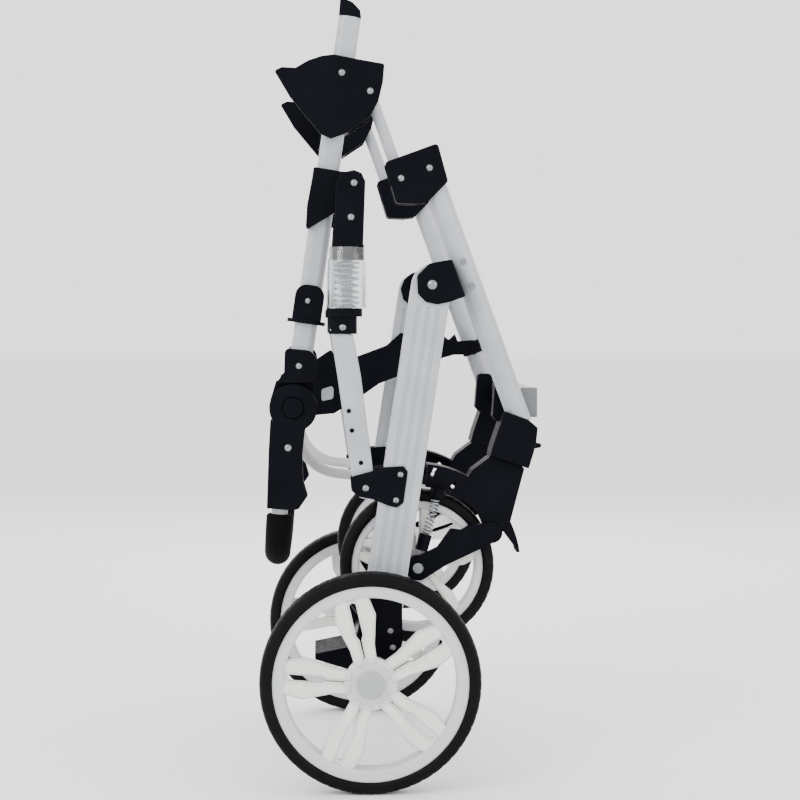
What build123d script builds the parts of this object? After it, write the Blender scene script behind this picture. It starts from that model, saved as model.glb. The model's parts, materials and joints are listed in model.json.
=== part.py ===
"""Folding chassis of a pet stroller, standing folded on its two rear wheels.

Millimetres. +X is the front, +Z is up, and the right-hand side of the chassis is at -Y.
Every piece is drawn for the right-hand side, then mirrored about the plane y = 0.
The origin is on the floor, under the middle of the folded chassis.
"""
import os
from math import asin, cos, degrees, radians, sin

from build123d import *

# ---------------------------------------------------------------- driving dimensions
frame_line = 168          # from the middle plane to the centre line of the frame tubes
leg_line = 200            # to the centre line of the rear legs and side links
caster_line = 150         # to the front wheels and their swivel axes
rear_wheel_line = 260     # to the rear wheels

rear_radius = 145
rear_bead = 128
rear_width = 38
front_radius = 105
front_bead = 89
front_width = 32

rear_hub = (-45, 145)     # every pair is (x, z) in the folded chassis
front_hub = (21, 284)
handle_pivot = (-43, 921)
leg_pivot = (38, 664)
link_foot = (-50, 395)
link_head = (-65, 800)
tilt_pivot = (-146, 500)
arm_pivot = (122, 330)
knee = (36, 820)
knee_tube = (-2, 806)
handle_rivet = (-79.5, 952)

handle_lean = 8.3         # degrees from upright
front_lean = 20.1
rear_lean = 8.7
swivel_lean = 18

leg_tube_radius = 15.5
upper_tube_radius = 8
handle_wide = 30
handle_deep = 20
leg_wide = 53
leg_deep = 25
link_deep = 18
cheek = 4                 # wall of the moulded side plates
cheek_out = frame_line + 16
cheek_in = frame_line - 16
wing_face = cheek_out + 6 # outer face of the handle's wing brackets
fit = 0.05                # running clearance on a radius

handle_axis = (sin(radians(handle_lean)), cos(radians(handle_lean)))
front_axis = (sin(radians(front_lean)), -cos(radians(front_lean)))
rear_axis = (-sin(radians(rear_lean)), -cos(radians(rear_lean)))
swivel_up = (sin(radians(swivel_lean)), cos(radians(swivel_lean)))

os.makedirs("parts", exist_ok=True)


# ---------------------------------------------------------------- helpers
def side(out):
    """Plane parallel to the chassis's side, out from the middle, facing away from it."""
    return Plane.XZ.offset(out)


def go(start, direction, distance):
    """The point a distance along a direction, both in the side view."""
    return (start[0] + direction[0] * distance, start[1] + direction[1] * distance)


def across(start, direction, out):
    """Plane square to a direction in the side view; its own x points out from the middle."""
    return Plane(
        origin=(start[0], -out, start[1]),
        x_dir=(0, -1, 0),
        z_dir=(direction[0], 0, direction[1]),
    )


def in_line(start, direction, out):
    """Side plane turned so that its own x runs along a direction in the side view."""
    return Plane(
        origin=(start[0], -out, start[1]),
        x_dir=(direction[0], 0, direction[1]),
        z_dir=(0, -1, 0),
    )


def save(piece, name):
    """Label a piece and write its file."""
    piece.part.label = name
    export_step(piece.part, f"parts/{name}.step")


def save_pair(piece, name):
    """Write a right-hand piece and its mirror image, each in its own file."""
    save(piece, f"right_{name}")
    with BuildPart() as twin:
        mirror(piece.part, about=Plane.XZ)
    save(twin, f"left_{name}")


def save_both(piece, name):
    """Write a right-hand piece and its mirror image as separate solids of one file."""
    with BuildPart() as both:
        add(piece.part)
        mirror(piece.part, about=Plane.XZ)
    save(both, name)


def rod(point, radius, out_from, out_to):
    """A round bar across the chassis, as a solid to add or subtract."""
    base = Plane(origin=(point[0], -out_from, point[1]), z_dir=(0, -1, 0))
    return Solid.make_cylinder(radius, out_to - out_from, base)


def bar(start, direction, out, radius, length):
    """A round bar along a direction in the side view, as a solid to add or subtract."""
    return Solid.make_cylinder(radius, length, across(start, direction, out))


def dome(point, out, radius=5, height=3):
    """A rivet's rounded head on a face that looks outwards."""
    ball = (radius**2 + height**2) / (2 * height)
    centre = Plane(origin=(point[0], -(out + height - ball), point[1]), z_dir=(0, -1, 0))
    return Solid.make_sphere(ball, centre, angle1=degrees(asin((ball - height) / ball)), angle2=90)


def oval(wide, deep):
    """The handle tubes' section, its long side in the plane of the side view."""
    return SlotOverall(wide, deep, rotation=90)


# ---------------------------------------------------------------- front frame: tubes
leg_top = go(knee, front_axis, -2)
leg_length = 365
with BuildPart() as front_leg:
    with BuildSketch(across(leg_top, front_axis, frame_line)):
        Circle(leg_tube_radius)
        Circle(leg_tube_radius - 2, mode=Mode.SUBTRACT)
    extrude(amount=leg_length)
save_pair(front_leg, "front_leg")
leg_solid = bar(leg_top, front_axis, frame_line, leg_tube_radius + fit, leg_length)

upper_run = Vector(knee_tube[0] - handle_pivot[0], knee_tube[1] - handle_pivot[1])
upper_axis = (upper_run.normalized().X, upper_run.normalized().Y)
upper_start = go(handle_pivot, upper_axis, -9)
upper_length = upper_run.length + 9 + 16
with BuildPart() as upper_tube:
    with BuildSketch(across(upper_start, upper_axis, frame_line)):
        Circle(upper_tube_radius)
    extrude(amount=upper_length)
    add(rod(handle_pivot, 3, 0, 300), mode=Mode.SUBTRACT)
save_both(upper_tube, "upper_tubes")
upper_solid = bar(upper_start, upper_axis, frame_line, upper_tube_radius + fit, upper_length)

# ---------------------------------------------------------------- front frame: brackets
knee_outline = [(-24, 827), (47, 853), (61, 802), (33, 774), (17, 772), (-8, 773)]
knee_core = [(-15, 799), (55, 821), (60, 801), (33, 775), (17, 773), (-8, 774)]
with BuildPart() as knee_bracket:
    for out in (cheek_in - cheek, cheek_out):
        with BuildSketch(side(out)) as knee_cheek:
            Polygon(*knee_outline, align=None)
            fillet(knee_cheek.vertices(), 5)
        extrude(amount=cheek)
    with BuildSketch(side(cheek_in)) as knee_web:
        Polygon(*knee_core, align=None)
        fillet(knee_web.vertices(), 4)
    extrude(amount=cheek_out - cheek_in)
    add(leg_solid, mode=Mode.SUBTRACT)
    add(upper_solid, mode=Mode.SUBTRACT)
    chamfer(knee_bracket.faces().sort_by(Axis.Y)[0].edges(), 1.2)
save_pair(knee_bracket, "knee_bracket")

hinge_outline = [(18, 676), (34, 692), (61, 697), (64, 696), (82, 649), (60, 641), (45, 638), (30, 641), (19, 652)]
hinge_web = [(48, 693), (64.5, 697), (82, 649), (64, 642)]
hinge_out = leg_line + leg_deep / 2 + 1
with BuildPart() as leg_hinge:
    with BuildSketch(side(hinge_out)) as hinge_cheek:
        Polygon(*hinge_outline, align=None)
        fillet(hinge_cheek.vertices().sort_by(Axis.X)[:4], 6)
    extrude(amount=cheek)
    with BuildSketch(side(cheek_in + 8)):
        Polygon(*hinge_web, align=None)
        with Locations(leg_pivot):
            Circle(leg_wide / 2 + 1, mode=Mode.SUBTRACT)
        with Locations(go(leg_pivot, rear_axis, 40)):
            Rectangle(leg_wide + 2, 80, rotation=-rear_lean, mode=Mode.SUBTRACT)
    extrude(amount=hinge_out - cheek_in - 8)
    with BuildSketch(side(cheek_in - 2)):
        Polygon((48, 693), (82, 700), (104, 655), (64, 642), align=None)
    extrude(amount=14)
    add(leg_solid, mode=Mode.SUBTRACT)
    add(rod(leg_pivot, 5, 0, 300), mode=Mode.SUBTRACT)
    chamfer(leg_hinge.faces().sort_by(Axis.Y)[0].edges(), 1.2)
save_pair(leg_hinge, "leg_hinge_bracket")

# ---------------------------------------------------------------- front frame: caster housing
housing_outline = [
    (135, 488), (138, 495), (169, 484), (182, 473), (180, 453), (177, 441), (170, 418),
    (118, 435), (122, 450),
]
housing_foot = (144, 426.5)
socket_outline = [(124, 487), (128, 537), (149, 537), (158, 492), (150, 480), (130, 480)]
lock_height = 447
lock_radius = 3
stem_radius = 6
with BuildPart() as caster_housing:
    with BuildSketch(side(caster_line - 20)) as housing_block:
        Polygon(*housing_outline, align=None)
        fillet(housing_block.vertices().filter_by(lambda v: v.Y > 440), 3)
    extrude(amount=58)
    with BuildSketch(side(caster_line - 20)) as beam_socket:
        Polygon(*socket_outline, align=None)
        fillet(beam_socket.vertices().filter_by(lambda v: v.Y > 500), 6)
    extrude(amount=22)
    add(leg_solid, mode=Mode.SUBTRACT)
    add(bar(go(housing_foot, swivel_up, -2), swivel_up, caster_line, stem_radius + fit, 42),
        mode=Mode.SUBTRACT)
    with BuildSketch(Plane.YZ.offset(157.5)):
        with Locations((-caster_line, lock_height)):
            Circle(lock_radius + fit)
    extrude(amount=40, mode=Mode.SUBTRACT)
    chamfer(caster_housing.faces().sort_by(Axis.Y)[0].edges(), 1.5)
save_pair(caster_housing, "caster_housing")

with BuildPart() as front_cross_beam:
    with BuildSketch(side(-160)) as beam_section:
        with Locations((167, 506)):
            Rectangle(34, 40)
        fillet(beam_section.vertices(), 4)
        with Locations((167, 506)):
            Rectangle(29, 35, mode=Mode.SUBTRACT)
    extrude(amount=320)
    for shape in (leg_solid, caster_housing.part):
        add(shape, mode=Mode.SUBTRACT)
        mirror(shape, about=Plane.XZ, mode=Mode.SUBTRACT)
save(front_cross_beam, "front_cross_beam")

# ---------------------------------------------------------------- front frame: fasteners
with BuildPart() as frame_fasteners:
    for point in (knee, knee_tube):
        add(dome(point, cheek_out + cheek))
    add(rod(handle_pivot, 3, cheek_in - cheek - 2, wing_face + 0.4))
    add(dome(handle_pivot, wing_face + 0.4))
    add(rod(leg_pivot, 5, leg_line - leg_deep / 2 - 2, hinge_out + cheek))
    add(dome(leg_pivot, hinge_out + cheek, 6.5))
    for distance in (132, 167):
        head = go(knee, front_axis, distance)
        add(rod(head, 4, frame_line + leg_tube_radius, frame_line + leg_tube_radius + 2.5))
save_both(frame_fasteners, "frame_fasteners")

# ---------------------------------------------------------------- rear legs
leg_foot_end = 410
with BuildPart() as rear_leg:
    with BuildSketch(in_line(leg_pivot, rear_axis, leg_line - leg_deep / 2)):
        with Locations((leg_foot_end / 2, 0)):
            Rectangle(leg_foot_end, leg_wide)
        Circle(leg_wide / 2)
    extrude(amount=leg_deep)
    fillet(rear_leg.faces().sort_by(Axis.Y)[0].edges(), 2)
    fillet(rear_leg.faces().sort_by(Axis.Y)[-1].edges(), 2)
    for groove in (-13, 0, 13):
        for out, deep in ((leg_line + leg_deep / 2 - 1.2, 2), (leg_line - leg_deep / 2 + 1.2, -2)):
            with BuildSketch(in_line(leg_pivot, rear_axis, out)):
                with Locations((leg_foot_end / 2 + 20, groove)):
                    Rectangle(leg_foot_end - 20, 4.5)
            extrude(amount=deep, mode=Mode.SUBTRACT)
    with BuildSketch(across(go(leg_pivot, rear_axis, leg_foot_end), rear_axis, leg_line)):
        Rectangle(leg_deep - 7, leg_wide - 7)
    extrude(amount=-330, mode=Mode.SUBTRACT)
    add(rod(leg_pivot, 5 + fit, 0, 300), mode=Mode.SUBTRACT)
save_pair(rear_leg, "rear_leg")

plate_outline = [
    (-70, 410), (-40, 418), (-39, 422), (0, 424), (6, 417), (0, 375), (-9, 369), (-21, 372),
    (-40, 380), (-60, 384), (-69, 392),
]
plate_out = leg_line + leg_deep / 2
with BuildPart() as link_plates:
    for out in (plate_out, leg_line - leg_deep / 2 - cheek):
        with BuildSketch(side(out)) as plate:
            Polygon(*plate_outline, align=None)
            fillet(plate.vertices().filter_by(lambda v: v.X < -60 or v.X > -5), 4)
        extrude(amount=cheek)
    add(rod(link_foot, 4, 0, 300), mode=Mode.SUBTRACT)
    chamfer(link_plates.faces().sort_by(Axis.Y)[0].edges(), 1)
save_both(link_plates, "link_plates")

block_top = go(leg_pivot, rear_axis, leg_foot_end)
block_outline = [
    (-46.4, 261.8), (-1.6, 255), (-1, 190), (-14, 126), (-45, 116), (-70, 130), (-64, 190),
]
axle_radius = 5
with BuildPart() as axle_block:
    with BuildSketch(side(leg_line - leg_deep / 2 + 1)) as block_side:
        Polygon(*block_outline, align=None)
        fillet(block_side.vertices().filter_by(lambda v: v.Y < 150), 9)
    extrude(amount=leg_deep - 2)
    with BuildSketch(across(go(block_top, rear_axis, 2), rear_axis, leg_line)):
        Rectangle(leg_deep - 7.2, leg_wide - 7.2)
    extrude(amount=-46)
    add(rod(rear_hub, axle_radius, 0, 300), mode=Mode.SUBTRACT)
save_both(axle_block, "axle_blocks")

cross_tube_radius = 12.5
cross_tube_half = leg_line - leg_deep / 2 + 1
axle_half = rear_wheel_line + 14
with BuildPart() as rear_axle:
    add(rod(rear_hub, cross_tube_radius, -cross_tube_half, cross_tube_half))
    add(rod(rear_hub, axle_radius, -axle_half, axle_half))
save(rear_axle, "rear_axle")

hoop_radius = 7
hoop_arm = 105
hoop_end = leg_line - leg_deep / 2 - cheek
with BuildPart() as basket_hoop:
    with BuildLine() as hoop_line:
        FilletPolyline(
            (-40, -hoop_end, 401),
            (-40, -hoop_arm, 401),
            (-137, -hoop_arm, 412),
            (-143, -hoop_arm, 492),
            (-143, hoop_arm, 492),
            (-137, hoop_arm, 412),
            (-40, hoop_arm, 401),
            (-40, hoop_end, 401),
            radius=[24, 60, 26, 26, 60, 24],
        )
    with BuildSketch(hoop_line.line ^ 0):
        Circle(hoop_radius)
    sweep()
save(basket_hoop, "basket_hoop")

with BuildPart() as rear_leg_rivets:
    for point in ((-4, 413), (-10, 379)):
        add(dome(point, plate_out + cheek, 4.5))
    add(rod(link_foot, 4, leg_line - leg_deep / 2 - cheek, plate_out + cheek))
    add(dome(link_foot, plate_out + cheek, 5))
    for point in ((-17, 204), (-14, 182)):
        add(dome(point, leg_line + leg_deep / 2 - 1, 4, 2))
save_both(rear_leg_rivets, "rear_leg_rivets")

with BuildPart() as brake_pedal:
    with BuildSketch(side(-55)) as pedal_side:
        with Locations(rear_hub):
            Circle(cross_tube_radius + 4)
        Polygon((-48, 160), (-118, 146), (-118, 138), (-66, 122), (-42, 129), align=None)
        with Locations(rear_hub):
            Circle(cross_tube_radius + fit, mode=Mode.SUBTRACT)
    extrude(amount=110)
save(brake_pedal, "brake_pedal")


# ---------------------------------------------------------------- wheels
def build_tyre(hub, out, radius, bead, width):
    """A solid rubber tyre with a rounded tread."""
    with BuildPart() as tyre:
        with BuildSketch(Plane.YZ.offset(hub[0])) as section:
            with Locations((-out, hub[1] + (radius + bead) / 2)):
                Rectangle(width, radius - bead)
            fillet(section.vertices().group_by(Axis.Y)[-1], 7)
            fillet(section.vertices().group_by(Axis.Y)[0], 2)
        revolve(axis=Axis((hub[0], -out, hub[1]), (0, 1, 0)))
    return tyre


def build_rim(hub, out, bead, width, bore, bore_end, start_angle):
    """A moulded rim: an outer band, a hub and five forked spokes of two ridged blades each."""
    band = bead * 0.12
    root = bead * 0.20
    tip = bead - band + 2
    face = out + width / 2 - 7
    blade = [
        (root, 0.6), (bead * 0.45, 1.2), (bead * 0.50, bead * 0.034), (bead * 0.83, bead * 0.034),
        (bead * 0.85, 0), (tip, 0), (tip, bead * 0.175), (bead * 0.68, bead * 0.21),
        (bead * 0.38, bead * 0.13), (root, bead * 0.115),
    ]
    crest = [
        (root, 2), (bead * 0.46, 3), (bead * 0.51, bead * 0.045), (bead * 0.83, bead * 0.045),
        (tip, bead * 0.03), (tip, bead * 0.172), (bead * 0.68, bead * 0.205), (bead * 0.38, bead * 0.127),
        (root, bead * 0.113),
    ]
    with BuildPart() as rim:
        with BuildSketch(Plane.YZ.offset(hub[0])) as section:
            with Locations((-out, hub[1] + bead - band / 2)):
                Rectangle(width - 4, band)
            fillet(section.vertices().group_by(Axis.Y)[0], 3)
        revolve(axis=Axis((hub[0], -out, hub[1]), (0, 1, 0)))
        for outline, thick, slope in ((blade, -11, 0), (crest, 4.5, 22)):
            with BuildSketch(Plane(origin=(hub[0], -face, hub[1]), x_dir=(1, 0, 0), z_dir=(0, -1, 0))):
                with PolarLocations(0, 5, start_angle):
                    Polygon(*outline, align=None)
                    Polygon(*[(u, -v) for u, v in outline], align=None)
            extrude(amount=thick, taper=slope)
        add(rod(hub, bead * 0.27, face - 12, face + 1.5))
        add(rod(hub, bead * 0.14, out - width / 2 - 1.5, face + 7))
        add(rod(hub, bore + fit, 0, bore_end), mode=Mode.SUBTRACT)
    return rim


rear_spokes = 31
front_spokes = 18
front_axle_radius = 4
save_pair(build_tyre(rear_hub, rear_wheel_line, rear_radius, rear_bead, rear_width), "rear_tyre")
save_pair(build_tyre(front_hub, caster_line, front_radius, front_bead, front_width), "front_tyre")
rear_rim = build_rim(
    rear_hub, rear_wheel_line, rear_bead, rear_width, axle_radius, axle_half + 1, rear_spokes
)
front_rim = build_rim(
    front_hub, caster_line, front_bead, front_width, front_axle_radius, 300, front_spokes
)
save_pair(rear_rim, "rear_rim")
save_pair(front_rim, "front_rim")

# ---------------------------------------------------------------- casters
plate_face = caster_line + front_width / 2 + 6     # outer face of the fork's side plate
arm_face = plate_face + 9
guard_radius = 140
guard_sector = [front_hub, (260, 318), (260, 600), (44, 520)]
plate_sector = [front_hub, (137, 332), (157.5, 304), (260, 304), (260, 600), (44, 520)]
crown_outline = [(166, 418.2), (119.7, 433.4), (95, 415), (84, 396), (112, 334), (137, 334), (147, 346)]
spring_top = (46, 377)
spring_foot = (32, 329)
spring_run = Vector(spring_foot[0] - spring_top[0], spring_foot[1] - spring_top[1])
spring_axis = (spring_run.normalized().X, spring_run.normalized().Y)
spring_line = plate_face + 5
with BuildPart() as caster_fork:
    with BuildSketch(side(caster_line - front_width / 2 - 5)) as crown:
        Polygon(*crown_outline, align=None)
        fillet(crown.vertices().sort_by(Axis.X)[-1], 3)
    extrude(amount=front_width + 11)
    with BuildSketch(side(caster_line - front_width / 2 - 5)):
        with Locations(front_hub):
            Circle(guard_radius)
            Circle(guard_radius - 4, mode=Mode.SUBTRACT)
        Polygon(*guard_sector, align=None, mode=Mode.INTERSECT)
    extrude(amount=front_width + 11)
    add(rod(front_hub, front_radius + 22, 0, plate_face - 4), mode=Mode.SUBTRACT)
    with BuildSketch(side(plate_face - 4)) as side_plate:
        with Locations(front_hub):
            Circle(guard_radius)
        with Locations(front_hub):
            Circle(front_radius + 4, mode=Mode.SUBTRACT)
        Polygon(*plate_sector, align=None, mode=Mode.INTERSECT)
        with Locations(arm_pivot):
            Circle(14)
        with Locations(go(spring_top, spring_axis, -8)):
            Circle(11)
        with Locations((43, 413.5)):
            Rectangle(4, 17, rotation=-25, mode=Mode.SUBTRACT)
        with Locations((68, 392.5)):
            Rectangle(5, 18, rotation=-42, mode=Mode.SUBTRACT)
    extrude(amount=4)
    add(bar(go(spring_top, spring_axis, -14), spring_axis, spring_line, 9, 14))
    add(rod(arm_pivot, 5, plate_face - 2, arm_face + 0.5))
    add(bar(go(housing_foot, swivel_up, -12), swivel_up, caster_line, stem_radius, 50))
save_pair(caster_fork, "caster_fork")

arm_outline = [
    (12, 268), (28, 268), (60, 288), (103, 308), (132, 322), (134, 336), (122, 345), (89, 341),
    (80, 335), (65, 337), (47, 312), (24, 301), (10, 292),
]
with BuildPart() as swing_arm:
    with BuildSketch(side(plate_face + 0.4)) as arm_side:
        Polygon(*arm_outline, align=None)
        fillet(arm_side.vertices(), 3)
        with Locations(front_hub):
            Circle(17)
    extrude(amount=arm_face - plate_face - 0.4)
    add(bar(spring_foot, spring_axis, spring_line, 8.5, 22))
    with BuildSketch(side(plate_face - 30)):
        Rectangle(900, 900)
    extrude(amount=30.4, mode=Mode.SUBTRACT)
    add(rod(arm_pivot, 5 + fit, 0, 300), mode=Mode.SUBTRACT)
    add(rod(front_hub, front_axle_radius, 0, 300), mode=Mode.SUBTRACT)
save_pair(swing_arm, "swing_arm")

with BuildPart() as suspension_spring:
    with BuildSketch(across(spring_top, spring_axis, spring_line)):
        Circle(4.8)
        Circle(3, mode=Mode.SUBTRACT)
    extrude(amount=spring_run.length)
save_pair(suspension_spring, "suspension_spring")

inner_end = caster_line - front_width / 2 - 2
with BuildPart() as front_axle:
    add(rod(front_hub, front_axle_radius, inner_end, arm_face))
    add(rod(front_hub, 7, arm_face, arm_face + 4))
    add(rod(front_hub, 7, inner_end - 4, inner_end))
save_pair(front_axle, "front_axle")

with BuildPart() as swivel_lock:
    with BuildSketch(Plane.YZ.offset(160)):
        with Locations((-caster_line, lock_height)):
            Circle(lock_radius)
    extrude(amount=22.5)
    with BuildSketch(Plane.YZ.offset(182.3)) as knob:
        with Locations((-caster_line, lock_height)):
            Rectangle(18, 8)
        fillet(knob.vertices(), 2)
    extrude(amount=7.7, taper=12)
save_pair(swivel_lock, "swivel_lock")

# ---------------------------------------------------------------- handle frame
handle_low = 405
handle_high = 70
handle_start = go(handle_rivet, handle_axis, -handle_low)
with BuildPart() as handle_tube:
    with BuildSketch(across(handle_start, handle_axis, frame_line)):
        add(oval(handle_wide, handle_deep))
        add(oval(handle_wide - 4, handle_deep - 4), mode=Mode.SUBTRACT)
    extrude(amount=handle_low + handle_high)
save_pair(handle_tube, "handle_tube")
with BuildPart() as handle_core:
    with BuildSketch(across(handle_start, handle_axis, frame_line)):
        add(oval(handle_wide + 0.1, handle_deep + 0.1))
    extrude(amount=handle_low + handle_high)

cap_outline = [(-84.2, 1023.5), (-82.4, 1045), (-78, 1045), (-66, 1039.5), (-56, 1029), (-54.6, 1019.2)]
cap_seat = go(handle_rivet, handle_axis, handle_high + 2)
with BuildPart() as handle_cap:
    with BuildSketch(side(frame_line - handle_deep / 2)):
        Polygon(*cap_outline, align=None)
    extrude(amount=handle_deep)
    fillet(handle_cap.edges().filter_by(Axis.Y, reverse=True).group_by(Axis.Z)[-1], 2)
    with BuildSketch(across(cap_seat, handle_axis, frame_line)):
        add(oval(handle_wide - 4.2, handle_deep - 4.2))
    extrude(amount=-20)
save_both(handle_cap, "handle_caps")

wing_outline = [
    (-170, 947), (-160, 952), (-142, 951), (-125, 961), (-107, 967), (-91, 969), (-60, 963), (-24, 957),
    (-26, 933), (-32, 908), (-44, 886), (-74, 866), (-95, 858), (-109, 864), (-149, 912),
]
wing_inner = [
    (-110, 959), (-91, 969), (-60, 963), (-24, 957), (-26, 933), (-32, 908), (-44, 886), (-74, 866), (-95, 858),
    (-112, 877),
]
wing_sleeve = [(-101, 964), (-61, 961), (-72, 867), (-95, 859), (-113, 877)]
with BuildPart() as wing_bracket:
    for out, outline in ((wing_face - 4, wing_outline), (cheek_in - 4, wing_inner)):
        with BuildSketch(side(out)) as wing:
            Polygon(*outline, align=None)
            fillet(wing.vertices(), 3)
        extrude(amount=4)
    with BuildSketch(side(cheek_in - 2)):
        Polygon(*wing_sleeve, align=None)
    extrude(amount=wing_face - cheek_in)
    add(handle_core.part, mode=Mode.SUBTRACT)
    add(rod(handle_pivot, 3 + fit, 0, 300), mode=Mode.SUBTRACT)
    chamfer(wing_bracket.faces().sort_by(Axis.Y)[0].edges(), 1)
save_pair(wing_bracket, "wing_bracket")

lug_face = cheek_out + 2
lug_outline = [(-118, 821), (-82, 815), (-89, 761), (-129, 737), (-127, 770), (-120, 807)]
lug_arm = [(-104, 818), (-82, 815), (-66, 814), (-52, 804), (-66, 786), (-86, 775), (-104, 772)]
with BuildPart() as link_lug:
    with BuildSketch(side(cheek_in)) as lug_block:
        Polygon(*lug_outline, align=None)
        fillet(lug_block.vertices(), 3)
    extrude(amount=lug_face - cheek_in)
    add(handle_core.part, mode=Mode.SUBTRACT)
    with BuildSketch(side(lug_face - 4)):
        Polygon(*lug_arm, align=None)
        with Locations(link_head):
            Circle(14)
    extrude(amount=4)
save_both(link_lug, "link_lug_brackets")

collar_rivet = (-126, 643)
collar_foot = go(handle_rivet, handle_axis, -343)
with BuildPart() as handle_collar:
    with BuildSketch(in_line(collar_foot, handle_axis, frame_line - 14)) as collar_side:
        with Locations((26, 0)):
            Rectangle(52, 39)
        fillet(collar_side.vertices().group_by(Axis.X)[-1], 15)
    extrude(amount=28)
    with BuildSketch(across(collar_foot, handle_axis, frame_line)):
        add(oval(51, 34))
    extrude(amount=5)
    add(handle_core.part, mode=Mode.SUBTRACT)
save_both(handle_collar, "handle_collars")

socket_rivet = (-138, 556)
tilt_radius = 32
disc_face = 170
hub_pin = 10
tilt_sleeve = [(-157, 580), (-115, 576), (-114, 545), (-118, 534), (-169, 533), (-158, 548)]
with BuildPart() as tilt_socket:
    with BuildSketch(side(cheek_in)) as sleeve_side:
        Polygon(*tilt_sleeve, align=None)
        fillet(sleeve_side.vertices().sort_by(Axis.X)[-1], 2)
        fillet(sleeve_side.vertices().filter_by(lambda v: v.Y > 570).sort_by(Axis.X)[0], 6)
        fillet(sleeve_side.vertices().filter_by(lambda v: v.Y > 570).sort_by(Axis.X)[-1], 16)
    extrude(amount=cheek_out - cheek_in)
    with BuildSketch(side(cheek_in)):
        with Locations(tilt_pivot):
            Circle(tilt_radius)
        Polygon((-169, 536), (-118, 536), (-117, 510), (-177, 510), align=None)
    extrude(amount=disc_face - cheek_in)
    add(rod(tilt_pivot, hub_pin, disc_face - 2, disc_face + 5))
    add(handle_core.part, mode=Mode.SUBTRACT)
save_both(tilt_socket, "tilt_sockets")

with BuildPart() as handle_rivets:
    add(dome(go(handle_rivet, handle_axis, -7), wing_face))
    add(dome(collar_rivet, frame_line + 14, 4.5))
    add(dome(socket_rivet, cheek_out, 5))
save_both(handle_rivets, "handle_rivets")

# ---------------------------------------------------------------- handlebar
arm_out = 188
button_radius = 14
bar_top = (-159, 450)
bar_foot = (-168.5, 300)
bar_radius = 11
bar_run = Vector(bar_foot[0] - bar_top[0], bar_foot[1] - bar_top[1]).normalized()
bar_down = (bar_run.X, bar_run.Y)
with BuildPart() as handlebar_tube:
    with BuildLine() as bar_line:
        FilletPolyline(
            (bar_top[0], -frame_line, bar_top[1]),
            (bar_foot[0], -frame_line, bar_foot[1]),
            (bar_foot[0], frame_line, bar_foot[1]),
            (bar_top[0], frame_line, bar_top[1]),
            radius=48,
        )
    with BuildSketch(bar_line.line ^ 0):
        Circle(bar_radius)
        Circle(bar_radius - 1.8, mode=Mode.SUBTRACT)
    sweep()
save(handlebar_tube, "handlebar_tube")

grip_top = go(bar_foot, bar_down, -57)
with BuildPart() as foam_grip:
    with BuildLine() as grip_line:
        FilletPolyline(
            (grip_top[0], -frame_line, grip_top[1]),
            (bar_foot[0], -frame_line, bar_foot[1]),
            (bar_foot[0], frame_line, bar_foot[1]),
            (grip_top[0], frame_line, grip_top[1]),
            radius=48,
        )
    with BuildSketch(grip_line.line ^ 0):
        Circle(17.5)
    sweep()
    fillet(foam_grip.edges().group_by(Axis.Z)[-1], 4)
    with BuildSketch(grip_line.line ^ 0):
        Circle(bar_radius + fit)
    sweep(path=grip_line.line, mode=Mode.SUBTRACT)
save(foam_grip, "foam_grip")

tilt_arm_outline = [
    (-176.5, 484), (-179, 440), (-181.5, 366), (-146, 363), (-139, 365), (-127, 382), (-133, 403), (-134, 437), (-130, 474),
]
with BuildPart() as tilt_arm:
    with BuildSketch(side(cheek_in)) as arm_block:
        Polygon(*tilt_arm_outline, align=None)
        fillet(arm_block.vertices().group_by(Axis.Y)[0], 3)
    extrude(amount=arm_out - cheek_in)
    add(rod(tilt_pivot, tilt_radius + 1, 0, disc_face + 0.5), mode=Mode.SUBTRACT)
    add(rod(tilt_pivot, tilt_radius, disc_face + 0.5, arm_out))
    add(rod(tilt_pivot, hub_pin + fit, 0, disc_face + 6), mode=Mode.SUBTRACT)
    add(rod(tilt_pivot, button_radius + fit, disc_face + 6, 300), mode=Mode.SUBTRACT)
    add(bar(bar_top, bar_down, frame_line, bar_radius + fit, 120), mode=Mode.SUBTRACT)
    chamfer(tilt_arm.faces().sort_by(Axis.Y)[0].edges(), 0.8)
save_pair(tilt_arm, "tilt_arm")

with BuildPart() as tilt_button:
    add(rod(tilt_pivot, button_radius, disc_face + 12.5, arm_out + 3.5))
    fillet(tilt_button.edges().group_by(Axis.Y)[0], 2)
save_pair(tilt_button, "tilt_button")

# ---------------------------------------------------------------- side links
sleeve_middle = (-74.5, -leg_line)
sleeve_foot = 633
sleeve_top = 714
plug_foot = 697
link_outline = [
    (-97, 606), (-66, 598), (-56, 543), (-40, 418), (-36, 400), (-64, 396), (-69, 414), (-87, 543),
]
with BuildPart() as link_bar:
    with BuildSketch(side(leg_line - link_deep / 2)) as link_side:
        Polygon(*link_outline, align=None)
        with Locations(link_foot):
            Circle(15)
        with Locations((-72, 497), (-68, 471), (-56, 428)):
            Circle(3, mode=Mode.SUBTRACT)
        with Locations(link_foot):
            Circle(4 + fit, mode=Mode.SUBTRACT)
    extrude(amount=link_deep)
    chamfer(link_bar.faces().sort_by(Axis.Y)[0].edges(), 1.5)
    with BuildSketch(Plane.XY.offset(601)):
        with Locations((-76, -leg_line)):
            Circle(8.5)
    extrude(amount=96)
save_both(link_bar, "link_bars")

with BuildPart() as link_collar:
    with BuildSketch(Plane.XY.offset(599)):
        with Locations((-80, -leg_line)):
            SlotOverall(38, 25)
    extrude(amount=24)
    with BuildSketch(Plane.XY.offset(622)):
        with Locations((-78, -leg_line)):
            SlotOverall(48, 34)
    extrude(amount=sleeve_foot - 622)
    add(link_bar.part, mode=Mode.SUBTRACT)
save_both(link_collar, "link_collars")

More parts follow.
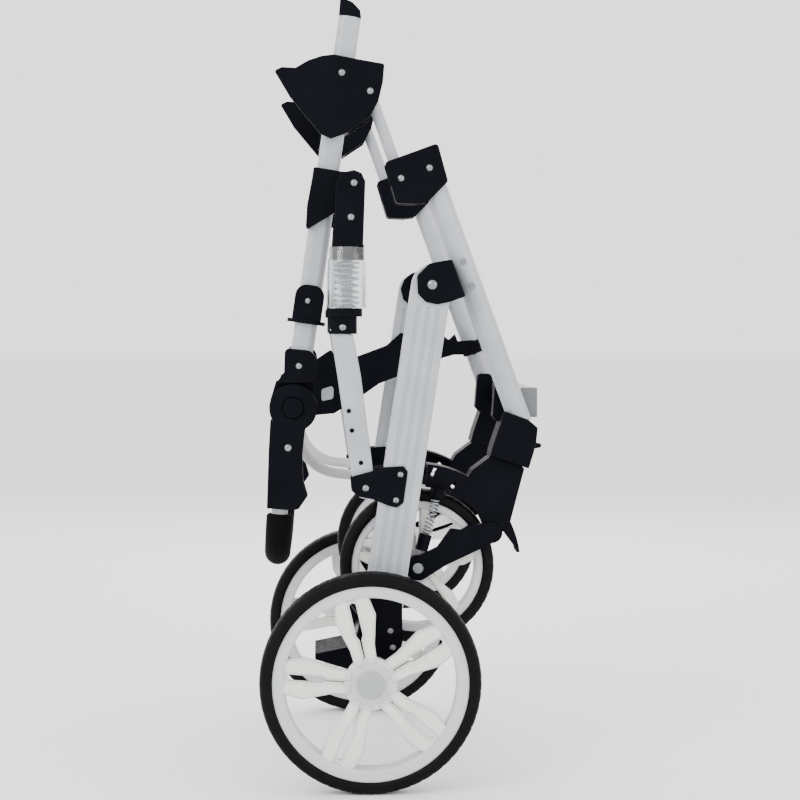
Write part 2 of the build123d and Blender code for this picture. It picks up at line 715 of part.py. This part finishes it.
with BuildPart() as spring_sleeve:
    with BuildSketch(Plane.XY.offset(sleeve_foot)):
        with Locations(sleeve_middle):
            SlotOverall(53, 42)
            SlotOverall(49.6, 38.6, mode=Mode.SUBTRACT)
    extrude(amount=sleeve_top - sleeve_foot)
save_both(spring_sleeve, "spring_sleeves")

with BuildPart() as link_spring:
    with BuildSketch(Plane.XY.offset(sleeve_foot)):
        with Locations(sleeve_middle):
            Circle(17)
            Circle(14.5, mode=Mode.SUBTRACT)
    extrude(amount=plug_foot - sleeve_foot - 1)
save_both(link_spring, "link_springs")

link_socket_outline = [
    (-93, 716), (-53, 716), (-50, 800), (-55, 811), (-65, 815), (-82, 811), (-89, 798), (-90, 760),
]
with BuildPart() as link_socket:
    with BuildSketch(side(leg_line - 11)) as socket_side:
        Polygon(*link_socket_outline, align=None)
        fillet(socket_side.vertices().group_by(Axis.Y)[-1], 5)
    extrude(amount=22)
    chamfer(link_socket.faces().sort_by(Axis.Y)[0].edges(), 1)
    with BuildSketch(Plane.XY.offset(plug_foot)):
        with Locations((-73, -leg_line)):
            SlotOverall(43, 28)
    extrude(amount=20)
save_both(link_socket, "link_sockets")

with BuildPart() as link_rivets:
    for point in ((-65, 798), (-69, 753)):
        add(dome(point, leg_line + 11))
    add(dome((-80, 608), leg_line + 12.5))
    add(rod(link_head, 5, lug_face + 0.5, leg_line - 11))
save_both(link_rivets, "link_rivets")

# ---------------------------------------------------------------- fold latch, left side only
latch_pivot = (119, 577)
latch_outline = [
    (-122, 555), (-94, 574), (-84, 560), (-58, 562), (-10, 580), (11, 599), (70, 593), (91, 586),
    (119, 588), (119, 566), (91, 566), (70, 560), (0, 531), (-21, 523), (-55, 499), (-89, 478), (-122, 475),
]
with BuildPart() as fold_latch:
    with BuildSketch(side(-142)) as latch_side:
        Polygon(*latch_outline, align=None)
        fillet(latch_side.vertices(), 3)
        with Locations(latch_pivot):
            Circle(11)
            Circle(4 + fit, mode=Mode.SUBTRACT)
    extrude(amount=22)
save(fold_latch, "left_fold_latch")

clamp_start = go(knee, front_axis, 249)
with BuildPart() as latch_clamp:
    add(bar(clamp_start, front_axis, -frame_line, 19, 19))
    add(bar(leg_top, front_axis, -frame_line, leg_tube_radius + fit, leg_length), mode=Mode.SUBTRACT)
    add(rod(latch_pivot, 4, -frame_line + leg_tube_radius + 0.5, -118))
save(latch_clamp, "left_latch_clamp")
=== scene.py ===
"""Looks for the folded pet stroller chassis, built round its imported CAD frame.

Metres, in the CAD's frame: +X is the front, +Z is up, and the right-hand side is at -Y.
"""
import json
from math import cos, pi, radians, sin

import bmesh
import bpy
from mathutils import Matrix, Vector


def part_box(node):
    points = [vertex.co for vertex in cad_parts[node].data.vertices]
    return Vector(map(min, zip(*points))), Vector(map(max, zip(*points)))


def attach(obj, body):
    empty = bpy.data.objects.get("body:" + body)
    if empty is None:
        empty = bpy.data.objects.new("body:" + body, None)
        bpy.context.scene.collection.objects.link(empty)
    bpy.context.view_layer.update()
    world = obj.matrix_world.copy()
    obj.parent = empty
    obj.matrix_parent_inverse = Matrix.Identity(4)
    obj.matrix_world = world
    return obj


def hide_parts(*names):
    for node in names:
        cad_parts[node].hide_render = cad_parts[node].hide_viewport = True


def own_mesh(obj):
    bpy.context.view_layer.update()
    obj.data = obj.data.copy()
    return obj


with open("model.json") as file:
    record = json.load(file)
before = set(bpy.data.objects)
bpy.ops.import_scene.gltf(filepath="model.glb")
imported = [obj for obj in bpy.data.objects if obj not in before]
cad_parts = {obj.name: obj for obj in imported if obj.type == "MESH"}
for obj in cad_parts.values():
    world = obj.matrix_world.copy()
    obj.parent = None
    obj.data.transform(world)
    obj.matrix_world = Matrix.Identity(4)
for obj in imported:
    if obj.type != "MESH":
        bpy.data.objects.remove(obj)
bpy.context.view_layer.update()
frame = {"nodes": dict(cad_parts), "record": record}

SIDES = (("right", -1), ("left", 1))
MM = 0.001


# ---------------------------------------------------------------- materials
class Shader:
    """A material's node tree, with short calls for the nodes that every finish here needs."""

    def __init__(self, name):
        self.material = bpy.data.materials.new(name)
        self.material.use_nodes = True
        self.tree = self.material.node_tree
        self.surface = self.tree.nodes["Principled BSDF"]
        self.place = self.node("ShaderNodeTexCoord").outputs["Object"]

    def node(self, kind, **settings):
        made = self.tree.nodes.new(kind)
        for key, value in settings.items():
            setattr(made, key, value)
        return made

    def join(self, source, target):
        self.tree.links.new(source, target)

    def stretched(self, scale):
        """The object's own coordinates, scaled along each axis."""
        mapping = self.node("ShaderNodeMapping")
        mapping.inputs["Scale"].default_value = scale
        self.join(self.place, mapping.inputs["Vector"])
        return mapping.outputs["Vector"]

    def noise(self, scale, detail=4, place=None):
        """Noise with features of about 1/scale metres."""
        noise = self.node("ShaderNodeTexNoise")
        noise.inputs["Scale"].default_value = scale
        noise.inputs["Detail"].default_value = detail
        self.join(place or self.place, noise.inputs["Vector"])
        return noise.outputs["Fac"]

    def cells(self, scale):
        """Distance to the nearest of scattered points, about 1/scale metres apart."""
        voronoi = self.node("ShaderNodeTexVoronoi", feature="F1")
        voronoi.inputs["Scale"].default_value = scale
        self.join(self.place, voronoi.inputs["Vector"])
        return voronoi.outputs["Distance"]

    def spread(self, value, low, high, out_low, out_high):
        """A value between low and high, mapped to lie between two others."""
        span = self.node("ShaderNodeMapRange")
        for socket, number in zip(span.inputs[1:5], (low, high, out_low, out_high)):
            socket.default_value = number
        self.join(value, span.inputs[0])
        return span.outputs[0]

    def blend(self, amount, first, second):
        """Two colours mixed; each is a colour or another node's output."""
        mix = self.node("ShaderNodeMix", data_type="RGBA", blend_type="MIX")
        self.join(amount, mix.inputs[0])
        for socket, colour in ((mix.inputs[6], first), (mix.inputs[7], second)):
            if isinstance(colour, tuple):
                socket.default_value = (*colour, 1)
            else:
                self.join(colour, socket)
        return mix.outputs[2]

    def edges(self, radius):
        """A rounded normal for sharp edges, and a mask that is 1 along them."""
        bevel = self.node("ShaderNodeBevel", samples=6)
        bevel.inputs["Radius"].default_value = radius
        flat = self.node("ShaderNodeNewGeometry")
        dot = self.node("ShaderNodeVectorMath", operation="DOT_PRODUCT")
        self.join(bevel.outputs["Normal"], dot.inputs[0])
        self.join(flat.outputs["Normal"], dot.inputs[1])
        return bevel.outputs["Normal"], self.spread(dot.outputs["Value"], 0.995, 0.85, 0, 1)

    def bump(self, height, depth, strength, normal=None):
        """The normal tilted by a height map, depth metres deep."""
        bump = self.node("ShaderNodeBump")
        bump.inputs["Distance"].default_value = depth
        bump.inputs["Strength"].default_value = strength
        self.join(height, bump.inputs["Height"])
        if normal:
            self.join(normal, bump.inputs["Normal"])
        return bump.outputs["Normal"]

    def finish(self, **sockets):
        """Sets the surface's sockets, each from a number, a colour or another node's output."""
        for name, value in sockets.items():
            socket = self.surface.inputs[name.replace("_", " ")]
            if isinstance(value, bpy.types.NodeSocket):
                self.join(value, socket)
            else:
                socket.default_value = (*value, 1) if isinstance(value, tuple) else value
        return self.material


def coated_metal(name, tone, shade, rough, coat):
    """Powder coat: a faint orange peel, cloudy tone, and slightly bare edges."""
    s = Shader(name)
    normal, edge = s.edges(0.8 * MM)
    colour = s.blend(s.spread(s.noise(14), 0.35, 0.65, 0, 1), tone, shade)
    specks = s.spread(s.noise(900, 2), 0.62, 0.75, 0, 0.25)
    colour = s.blend(specks, colour, tuple(c * 0.75 for c in tone))
    colour = s.blend(edge, colour, tuple(c * 0.9 for c in shade))
    peel = s.bump(s.noise(420, 3), 0.12 * MM, 0.22, normal)
    return s.finish(
        Base_Color=colour,
        Roughness=s.spread(s.noise(60), 0.3, 0.7, rough - 0.05, rough + 0.07),
        Coat_Weight=coat,
        Coat_Roughness=0.12,
        Normal=peel,
    )


def moulded(name, tone, shade, rough, grain, edge_tone, radius=1.1, gloss=0.5):
    """Moulded plastic: a fine spark-eroded grain, faint scuffs and lighter rubbed edges."""
    s = Shader(name)
    normal, edge = s.edges(radius * MM)
    colour = s.blend(s.spread(s.noise(22), 0.35, 0.65, 0, 1), tone, shade)
    scuffs = s.noise(90, 6, s.stretched((1, 1, 7)))
    colour = s.blend(s.spread(scuffs, 0.60, 0.74, 0, 0.4), colour, edge_tone)
    colour = s.blend(edge, colour, edge_tone)
    texture = s.bump(s.noise(grain, 3), 0.10 * MM, 0.30, normal)
    return s.finish(
        Base_Color=colour,
        Roughness=s.spread(scuffs, 0.3, 0.7, rough - 0.07, rough + 0.10),
        Specular_IOR_Level=gloss,
        Normal=texture,
    )


def rim_plastic(name, node, bead):
    """Warm moulded spokes between a band painted cooler and greyer as shade and a greyer hub, told apart
    by radius.

    The band reaches in from the bead to 0.875 of its radius, and the hub out to 0.275 of it.
    """
    s = Shader(name)
    normal, edge = s.edges(1.5 * MM)
    offset = s.node("ShaderNodeVectorMath", operation="SUBTRACT")
    s.join(s.place, offset.inputs[0])
    offset.inputs[1].default_value = centre(node)
    flat = s.node("ShaderNodeVectorMath", operation="MULTIPLY")
    s.join(offset.outputs["Vector"], flat.inputs[0])
    flat.inputs[1].default_value = (1, 0, 1)
    reach = s.node("ShaderNodeVectorMath", operation="LENGTH")
    s.join(flat.outputs["Vector"], reach.inputs[0])
    radius = reach.outputs["Value"]
    clouds = s.spread(s.noise(22), 0.35, 0.65, 0, 1)
    colour = s.blend(clouds, (0.74, 0.725, 0.685), (0.66, 0.645, 0.60))
    # Painted shade: the band inside the bead is made cooler and greyer where the rim's inner face lies in
    # shadow.
    band = s.spread(radius, bead * 0.865, bead * 0.885, 0, 1)
    colour = s.blend(band, colour, (0.50, 0.515, 0.53))
    hub = s.spread(radius, bead * 0.29, bead * 0.26, 0, 1)
    colour = s.blend(hub, colour, (0.56, 0.565, 0.565))
    scuffs = s.noise(90, 6, s.stretched((1, 7, 1)))
    colour = s.blend(s.spread(scuffs, 0.60, 0.74, 0, 0.4), colour, (0.58, 0.57, 0.55))
    colour = s.blend(s.spread(edge, 0, 1, 0, 0.5), colour, (0.80, 0.79, 0.77))
    return s.finish(
        Base_Color=colour,
        Roughness=s.spread(scuffs, 0.3, 0.7, 0.33, 0.50),
        Specular_IOR_Level=0.3,
        Normal=s.bump(s.noise(500, 3), 0.10 * MM, 0.30, normal),
    )


def steel(name, tone, rough, stretch=(1, 1, 1), metallic=1.0):
    """Bare or plated metal with fine scratches and a cloudy sheen."""
    s = Shader(name)
    normal, _ = s.edges(0.4 * MM)
    scratches = s.noise(700, 5, s.stretched(stretch))
    colour = s.blend(s.spread(scratches, 0.35, 0.7, 0, 1), tone, tuple(c * 0.72 for c in tone))
    colour = s.blend(s.spread(s.noise(45), 0.5, 0.8, 0, 0.5), colour, tuple(c * 0.6 for c in tone))
    return s.finish(
        Base_Color=colour,
        Metallic=metallic,
        Roughness=s.spread(scratches, 0.3, 0.7, rough - 0.06, rough + 0.12),
        Normal=s.bump(scratches, 0.05 * MM, 0.25, normal),
    )


def rubber(name):
    """Solid tyre rubber: matt, with faint bloom and a fine texture."""
    s = Shader(name)
    bloom = s.spread(s.noise(35, 6), 0.45, 0.75, 0, 0.6)
    colour = s.blend(bloom, (0.0018, 0.0018, 0.0024), (0.0042, 0.0042, 0.0050))
    return s.finish(
        Base_Color=colour,
        Specular_IOR_Level=0.08,
        Roughness=s.spread(s.noise(160), 0.3, 0.7, 0.42, 0.60),
        Normal=s.bump(s.noise(1500, 2), 0.10 * MM, 0.35),
    )


def foam(name):
    """Closed-cell foam: soft, dark, with a skin of tiny cells."""
    s = Shader(name)
    cells = s.cells(900)
    walls = s.spread(cells, 0.1, 0.7, 0, 1)
    colour = s.blend(walls, (0.0030, 0.0030, 0.0034), (0.0012, 0.0012, 0.0014))
    return s.finish(
        Base_Color=colour,
        Roughness=0.86,
        Specular_IOR_Level=0.06,
        Sheen_Weight=0.01,
        Sheen_Roughness=0.5,
        Normal=s.bump(cells, 0.25 * MM, 0.6),
    )


def clear_plastic(name):
    """Clear moulded plastic, a little hazy, with flow marks."""
    s = Shader(name)
    haze = s.noise(120, 5, s.stretched((1, 1, 4)))
    cloud = s.spread(haze, 0.3, 0.7, 0, 1)
    return s.finish(
        Base_Color=s.blend(cloud, (0.94, 0.96, 0.97), (0.86, 0.89, 0.91)),
        Roughness=s.spread(haze, 0.3, 0.7, 0.05, 0.20),
        Transmission_Weight=0.96,
        IOR=1.42,
        Normal=s.bump(haze, 0.12 * MM, 0.3),
    )


WHITE = coated_metal("white_tube", (0.38, 0.395, 0.42), (0.32, 0.335, 0.36), 0.30, 0.25)
HOOP = coated_metal("hoop_tube", (0.50, 0.505, 0.51), (0.42, 0.43, 0.44), 0.38, 0.1)
BLACK = moulded(
    "black_plastic", (0.0010, 0.0013, 0.0030), (0.0018, 0.0022, 0.0045), rough=0.46, grain=700,
    edge_tone=(0.0040, 0.0045, 0.0070), gloss=0.05,
)
IVORY = moulded(
    "wheel_plastic", (0.76, 0.75, 0.72), (0.69, 0.68, 0.65), rough=0.40, grain=500,
    edge_tone=(0.78, 0.77, 0.74), radius=1.5, gloss=0.3,
)
CAP = moulded(
    "hub_cap_plastic", (0.36, 0.375, 0.385), (0.32, 0.33, 0.34), rough=0.30, grain=500,
    edge_tone=(0.42, 0.43, 0.44), gloss=0.4,
)
BEAM = steel("grey_beam", (0.16, 0.165, 0.175), 0.42, (1, 0.05, 1), 0.5)
RIVET = steel("rivet_steel", (0.25, 0.26, 0.28), 0.22)
AXLE = steel("axle_steel", (0.30, 0.31, 0.33), 0.30, (1, 0.05, 1))
WIRE = steel("spring_steel", (0.42, 0.44, 0.47), 0.22)
TYRE = rubber("tyre_rubber")
FOAM = foam("grip_foam")
CLEAR = clear_plastic("clear_sleeve")

FINISHES = {
    "white_tube": WHITE, "hoop_tube": HOOP, "black_plastic": BLACK, "wheel_plastic": IVORY,
    "grey_beam": BEAM, "rivet_steel": RIVET, "axle_steel": AXLE, "spring_steel": WIRE,
    "tyre_rubber": TYRE, "grip_foam": FOAM, "clear_sleeve": CLEAR,
}
for subpart in frame["record"]["subparts"]:
    mesh = frame["nodes"][subpart["node"]].data
    mesh.materials.clear()
    mesh.materials.append(FINISHES[subpart["material_slot"]])


# ---------------------------------------------------------------- mesh helpers
def centre(node):
    """The middle of a CAD node's box at rest."""
    low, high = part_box(node)
    return (low + high) / 2


def piece(name, vertices, faces, material, body, smooth=True):
    """A mesh object that rides on a body."""
    mesh = bpy.data.meshes.new(name)
    mesh.from_pydata(vertices, [], faces)
    mesh.validate()
    shell = bmesh.new()
    shell.from_mesh(mesh)
    bmesh.ops.recalc_face_normals(shell, faces=shell.faces)
    shell.to_mesh(mesh)
    shell.free()
    for face in mesh.polygons:
        face.use_smooth = smooth
    mesh.materials.append(material)
    made = bpy.data.objects.new(name, mesh)
    bpy.context.scene.collection.objects.link(made)
    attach(made, body)
    return made


def ring_faces(rings, around, closed_rings, cap):
    """Quads between successive rings of points, and end faces where asked."""
    faces = []
    for ring in range(rings if closed_rings else rings - 1):
        here = ring * around
        there = ((ring + 1) % rings) * around
        for k in range(around):
            after = (k + 1) % around
            faces.append((here + k, here + after, there + after, there + k))
    if cap:
        faces.append(tuple(range(around))[::-1])
        faces.append(tuple(range((rings - 1) * around, rings * around)))
    return faces


def turned(profile, middle, side, around=96, stretch=(1, 1), upright=False):
    """Points of a profile of (distance along the axis, radius), turned about a line through middle.

    The axis points away from the chassis's middle plane, or up when upright.
    """
    vertices = []
    for along, radius in profile:
        for k in range(around):
            angle = 2 * pi * k / around
            u = radius * cos(angle) * stretch[0]
            v = radius * sin(angle) * stretch[1]
            if upright:
                vertices.append((middle[0] + u, middle[1] + v, middle[2] + along))
            else:
                vertices.append((middle[0] + u, middle[1] + side * along, middle[2] + v))
    return vertices


def turned_piece(name, profile, middle, side, material, body, around=96):
    """A solid of revolution about an axis across the chassis."""
    vertices = turned(profile, middle, side, around)
    faces = ring_faces(len(profile), around, False, True)
    return piece(name, vertices, faces, material, body)


def coil_piece(name, foot, top, radius, wire, turns, material, body):
    """A round-wire compression spring between two points, its turns closer together at the ends."""
    axis = (top - foot).normalized()
    across = axis.orthogonal().normalized()
    other = axis.cross(across)
    steps = turns * 28
    sides = 10
    closing = 0.035
    length = (top - foot).length
    vertices = []
    for step in range(steps + 1):
        share = step / steps
        eased = share - closing * sin(2 * pi * share)
        angle = 2 * pi * turns * share
        outward = across * cos(angle) + other * sin(angle)
        along = axis * (wire + (length - 2 * wire) * eased)
        middle = foot + along + outward * radius
        for k in range(sides):
            turn = 2 * pi * k / sides
            vertices.append(middle + (outward * cos(turn) + axis * sin(turn)) * wire)
    return piece(name, vertices, ring_faces(steps + 1, sides, False, True), material, body)


# ---------------------------------------------------------------- tyres
# Each kind of wheel: the radius of its bead and of its tread in millimetres, and its tread blocks
WHEELS = {"rear": (128, 145, 56), "front": (89, 105, 44)}


def tyre_piece(name, node, side, body, bead_share, blocks):
    """A solid tyre with a rounded section, a ridge on each sidewall and moulded tread blocks.

    The tread is cut by three grooves round the tyre and, outside the middle, by a gap after each
    block. The places of the cuts are shares of the tyre's width.
    """
    ridge, cut = 0.4 * MM, 0.9 * MM
    tread_edge, groove_place, groove_half_width, gap_start = 0.40, 0.14, 0.028, 0.2
    skew = 0.5
    points_across, steps_in_block = 44, 6
    low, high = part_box(node)
    middle = (low + high) / 2
    outer = (high.z - low.z) / 2
    width = high.y - low.y
    bead = outer * bead_share
    around = blocks * steps_in_block
    vertices = []
    for k in range(points_across):
        t = pi * k / (points_across - 1)
        across = -cos(t)
        y = (abs(across) ** 0.5) * (1 if across > 0 else -1) * width / 2
        lift = sin(t) ** 0.45
        radius = bead + (outer - bead) * lift
        if 0.35 < lift < 0.55:
            radius += ridge
        on_tread = abs(y) < width * tread_edge
        from_groove = min(abs(abs(y) - width * groove_place), abs(y))
        groove = on_tread and from_groove < width * groove_half_width
        for step in range(around):
            angle = 2 * pi * step / around + (skew * abs(y) / outer)
            gap = on_tread and abs(y) > width * gap_start and step % steps_in_block == 0
            r = radius - (cut if groove or gap else 0)
            vertices.append((middle.x + r * cos(angle), middle.y + side * y, middle.z + r * sin(angle)))
    faces = ring_faces(points_across, around, True, False)
    made = piece(name, vertices, faces, TYRE, body)
    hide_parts(node)


for name, side in SIDES:
    for end, (bead, tread, blocks) in WHEELS.items():
        tyre_piece(
            f"{name}_{end}_tread", f"{name}_{end}_tyre", side, f"{name}_{end}_wheel", bead / tread, blocks,
        )


# ---------------------------------------------------------------- wheel centres
for name, side in SIDES:
    for end, (bead, tread, blocks) in WHEELS.items():
        node = f"{name}_{end}_rim"
        frame["nodes"][node].data.materials[0] = rim_plastic(f"{node}_plastic", node, bead * MM)

for name, side in SIDES:
    rim = centre(f"{name}_rear_rim")
    low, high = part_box(f"{name}_rear_rim")
    face = abs(high.y if side > 0 else low.y) - abs(rim.y)
    cap_profile = [
        (face - 1 * MM, 18.5 * MM), (face + 0.6 * MM, 18.5 * MM), (face + 1.4 * MM, 17.6 * MM),
        (face + 1.2 * MM, 15.5 * MM), (face + 1.8 * MM, 14.5 * MM), (face + 3.0 * MM, 9 * MM),
        (face + 3.4 * MM, 3 * MM),
    ]
    turned_piece(f"{name}_hub_cap", cap_profile, rim, side, CAP, f"{name}_rear_wheel")


# ---------------------------------------------------------------- springs and their sleeves
low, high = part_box("spring_sleeves")
half_wide = (high.x - low.x) / 2
sleeve_deep = 42 * MM
flatness = sleeve_deep / 2 / half_wide
shoulder = high.z - 18 * MM
neck = 23.3 * MM
wall = 1.6 * MM
outside = [
    (low.z, half_wide - 0.8 * MM), (low.z + 0.8 * MM, half_wide), (low.z + 3 * MM, half_wide),
    (low.z + 4 * MM, half_wide - 0.7 * MM), (shoulder - 3 * MM, half_wide - 1.4 * MM),
    (shoulder, half_wide - 2.0 * MM), (shoulder + 2.4 * MM, neck),
    (high.z - 0.6 * MM, neck - 0.3 * MM), (high.z, neck - 0.8 * MM),
]
inside = [(z, r - wall) for z, r in reversed(outside)]
for name, side in SIDES:
    middle = Vector(((low.x + high.x) / 2, side * (high.y - sleeve_deep / 2), 0))
    vertices = turned(outside + inside, middle, side, 96, (1, flatness), True)
    faces = ring_faces(2 * len(outside), 96, True, False)
    sleeve = piece(f"{name}_clear_sleeve", vertices, faces, CLEAR, "links")
    foot = middle + Vector((0, 0, low.z + 1 * MM))
    top = middle + Vector((0, 0, shoulder - 1 * MM))
    coil = coil_piece(
        f"{name}_link_coil", foot, top, radius=15.7 * MM, wire=1.5 * MM, turns=8,
        material=WIRE, body="links",
    )
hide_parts("spring_sleeves")
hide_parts("link_springs")

for name, side in SIDES:
    low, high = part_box(f"{name}_suspension_spring")
    y = (low.y + high.y) / 2
    top = Vector((high.x - 5 * MM, y, high.z - 1 * MM))
    foot = Vector((low.x + 5 * MM, y, low.z + 1 * MM))
    coil = coil_piece(
        f"{name}_suspension_coil", foot, top, radius=5.6 * MM, wire=1.1 * MM, turns=10,
        material=WIRE, body=f"{name}_caster",
    )
    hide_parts(f"{name}_suspension_spring")
    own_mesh(coil)


# ---------------------------------------------------------------- small fasteners, plates and painted shade discs
# Millimetres in the side view: (x, z) for a place, and how far out along Y for the rest
ARM_RIVET = (-153, 447)
ARM_FACE = 188
LINK_HOLES = ((-72, 497), (-68, 471), (-56, 428))
# How deep the dark discs sit in the link holes: painted shade, standing in for the shadow inside each
# through-hole.
SHADE_DISC_SUNK = 2.5
HINGE_CHEEK = (
    (14, 666), (19, 680), (30, 690), (46, 695), (61, 697),
    (82, 649), (60, 641), (45, 638), (30, 641), (18, 650),
)
BEAM_END = (
    (151, 526), (183, 526), (184, 525), (184, 487), (183, 486), (151, 486), (150, 487), (150, 525),
)
BEAM_END_INNER, BEAM_END_OUTER = 157.5, 161
LATCH_TIPS = ((68, 592), (75, 596), (84, 588), (93, 597), (97, 587), (84, 574))
LATCH_PLATE = (
    (-108, 500), (-106, 497), (-92, 500), (-90, 504), (-90, 516), (-93, 519), (-106, 515), (-108, 512),
)


def head(name, point, out, side, radius, height, material, body):
    """A low turned head with a rounded rim, standing on a face that looks outwards."""
    middle = Vector((point[0] * MM, 0, point[1] * MM))
    profile = [
        (out - 0.5, radius), (out + height * 0.45, radius), (out + height * 0.8, radius * 0.82),
        (out + height, radius * 0.5), (out + height, radius * 0.34),
        (out + height * 0.72, radius * 0.28),
    ]
    profile = [(along * MM, reach * MM) for along, reach in profile]
    turned_piece(name, profile, middle, side, material, body, 32)


def prism(name, outline, out_from, out_to, material, body):
    """A flat piece with a straight-sided outline in the side view, between two places along Y."""
    vertices = [(x * MM, out * MM, z * MM) for out in (out_from, out_to) for x, z in outline]
    faces = ring_faces(2, len(outline), False, True)
    piece(name, vertices, faces, material, body, False)


link_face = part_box("link_bars")[1].y / MM
for name, side in SIDES:
    head(
        f"{name}_arm_rivet", ARM_RIVET, ARM_FACE, side, radius=5, height=2.4,
        material=RIVET, body="handlebar",
    )
    # Painted shade: a dark disc sunk in each link hole stands in for the shadow inside the through-hole;
    # it is no real plug.
    for number, point in enumerate(LINK_HOLES, 1):
        head(
            f"{name}_link_plug_{number}", point, link_face - SHADE_DISC_SUNK, side, radius=2.95, height=0.8,
            material=BLACK, body="links",
        )
    low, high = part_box(f"{name}_rear_leg")
    leg_inside = min(abs(low.y), abs(high.y)) / MM
    prism(
        f"{name}_inner_hinge_cheek", HINGE_CHEEK, side * (leg_inside - 4), side * (leg_inside - 0.8),
        BLACK, "front_frame",
    )
    prism(
        f"{name}_beam_end", BEAM_END, side * BEAM_END_INNER, side * BEAM_END_OUTER,
        BEAM, "front_frame",
    )
prism("latch_tips", LATCH_TIPS, 120.6, 141.4, BLACK, "fold_latch")
prism("latch_plate", LATCH_PLATE, 118.8, 120.4, WIRE, "fold_latch")


# ---------------------------------------------------------------- stage, light and camera
def stage_plane(name, size, material):
    """A square on the ground."""
    mesh = bpy.data.meshes.new(name)
    half = size / 2
    corners = [(-half, -half, 0), (half, -half, 0), (half, half, 0), (-half, half, 0)]
    mesh.from_pydata(corners, [], [(0, 1, 2, 3)])
    mesh.materials.append(material)
    made = bpy.data.objects.new(name, mesh)
    bpy.context.scene.collection.objects.link(made)


floor_shader = Shader("pale_floor")
stage_plane("floor", 60, floor_shader.finish(
    Base_Color=floor_shader.blend(floor_shader.noise(2), (0.90, 0.90, 0.90), (0.87, 0.87, 0.87)),
    Roughness=0.7,
))


def area_light(name, place, target, size, power):
    """A square lamp at a place, turned to look at a target."""
    light = bpy.data.lights.new(name, "AREA")
    light.size = size
    light.energy = power
    lamp = bpy.data.objects.new(name, light)
    lamp.location = place
    lamp.rotation_euler = (Vector(target) - Vector(place)).to_track_quat("-Z", "Y").to_euler()
    bpy.context.scene.collection.objects.link(lamp)


area_light("key", (-1.9, -2.2, 2.4), (0, 0, 0.5), 1.6, 60)
area_light("fill", (2.4, -1.8, 1.3), (0, 0, 0.5), 1.8, 22)
area_light("back", (0.3, 2.6, 2.2), (0, 0, 0.6), 2.0, 50)

world = bpy.data.worlds.new("studio")
world.use_nodes = True
world.node_tree.nodes["Background"].inputs["Color"].default_value = (1, 1, 1, 1)
world.node_tree.nodes["Background"].inputs["Strength"].default_value = 2.0
bpy.context.scene.world = world

camera_data = bpy.data.cameras.new("camera")
camera_data.lens = 82.35
camera_data.sensor_width = 36
camera = bpy.data.objects.new("camera", camera_data)
camera.location = (-0.110, -2.63, 0.611)
camera.rotation_euler = (radians(90 - 2.35), 0, radians(-2.5))
bpy.context.scene.collection.objects.link(camera)
bpy.context.scene.camera = camera
